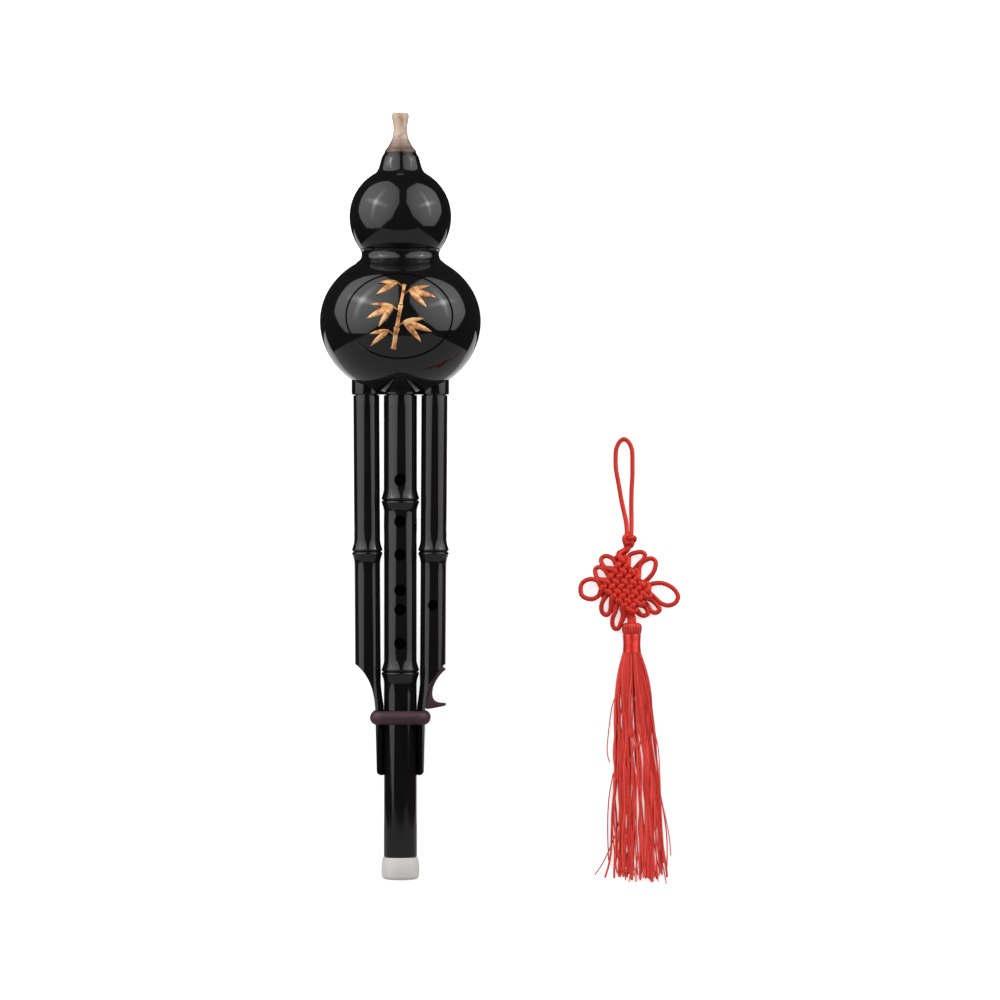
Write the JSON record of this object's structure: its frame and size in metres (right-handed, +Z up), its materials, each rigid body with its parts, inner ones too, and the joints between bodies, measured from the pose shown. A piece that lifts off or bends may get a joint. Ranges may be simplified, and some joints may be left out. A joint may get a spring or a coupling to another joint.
{
  "type": "hulusi",
  "caption": "Gourd flute with free reeds, lying face up: glossy black gourd wind chest, melody pipe with finger holes, drone pipes, rubber stopper and a red knot tassel beside it",
  "frame": {"origin": "on the surface that it lies on, at the middle of the outline of all but the free hanging loop", "axes": "+Y runs along the flute towards the mouthpiece, +X from the flute to the tassel, +Z up out of the finger holes; the flute's axis rises 6.4 degrees towards +Y"},
  "size_m": [0.1936, 0.4102, 0.0867],
  "materials": {
    "black_gloss": "polished black moulded resin, mirror-like, with a fine clear skin",
    "golden_relief": "thin raised copper-gold foil with mottled highlights",
    "cream_resin": "translucent cream resin, browner towards its base, with rusty veins",
    "seal_rubber": "matt sealing ring, out of sight",
    "plug_cork": "fine cork, out of sight",
    "reed_brass": "rolled sheet, out of sight",
    "maroon_rubber": "soft satin maroon rubber",
    "white_plastic": "off-white satin moulding",
    "red_cord": "satin braided cord",
    "red_yarn": "silky straight threads"
  },
  "bodies": {
    "flute": {"upper_gourd": "black_gloss", "lower_gourd": "black_gloss", "emblem_sprig": "golden_relief", "pipe_seat": "black_gloss", "binding_ring": "maroon_rubber", "left_drone_pipe": "black_gloss", "left_drone_seal": "seal_rubber", "left_drone_plug": "plug_cork", "right_drone_pipe": "black_gloss", "right_drone_seal": "seal_rubber", "right_drone_plug": "plug_cork", "right_drone_reed": "reed_brass"},
    "mouthpiece_piece": {"mouthpiece": "cream_resin"},
    "melody_pipe": {"main_pipe": "black_gloss", "main_pipe_seal": "seal_rubber", "main_pipe_plug": "plug_cork", "main_reed": "reed_brass"},
    "cap": {"end_cap": "white_plastic"},
    "stopper": {"drone_stopper": "maroon_rubber"},
    "tassel": {"button_knot": "red_cord", "mystic_knot": "red_cord", "tassel_cap": "red_cord", "tassel_band": "red_cord", "tassel_skirt": "red_yarn", "hanging_loop": "red_cord"}
  },
  "joints": [
    {"name": "mouthpiece_pull", "type": "slide", "parent": "flute", "child": "mouthpiece_piece", "axis": [0, 0.9938, 0.1111], "range_m": [0, 0.014]},
    {"name": "main_pipe_tune", "type": "slide", "parent": "flute", "child": "melody_pipe", "axis": [0, -0.9938, -0.1111], "range_m": [0, 0.005]},
    {"name": "end_cap_pull", "type": "slide", "parent": "melody_pipe", "child": "cap", "axis": [0, -0.9938, -0.1111], "range_m": [0, 0.012]},
    {"name": "stopper_pull", "type": "slide", "parent": "flute", "child": "stopper", "axis": [1, 0, 0], "range_m": [0, 0.015]},
    {"name": "tassel_lift", "type": "slide", "parent": "flute", "child": "tassel", "axis": [0, 0, 1], "range_m": [0, 0.06]}
  ]
}
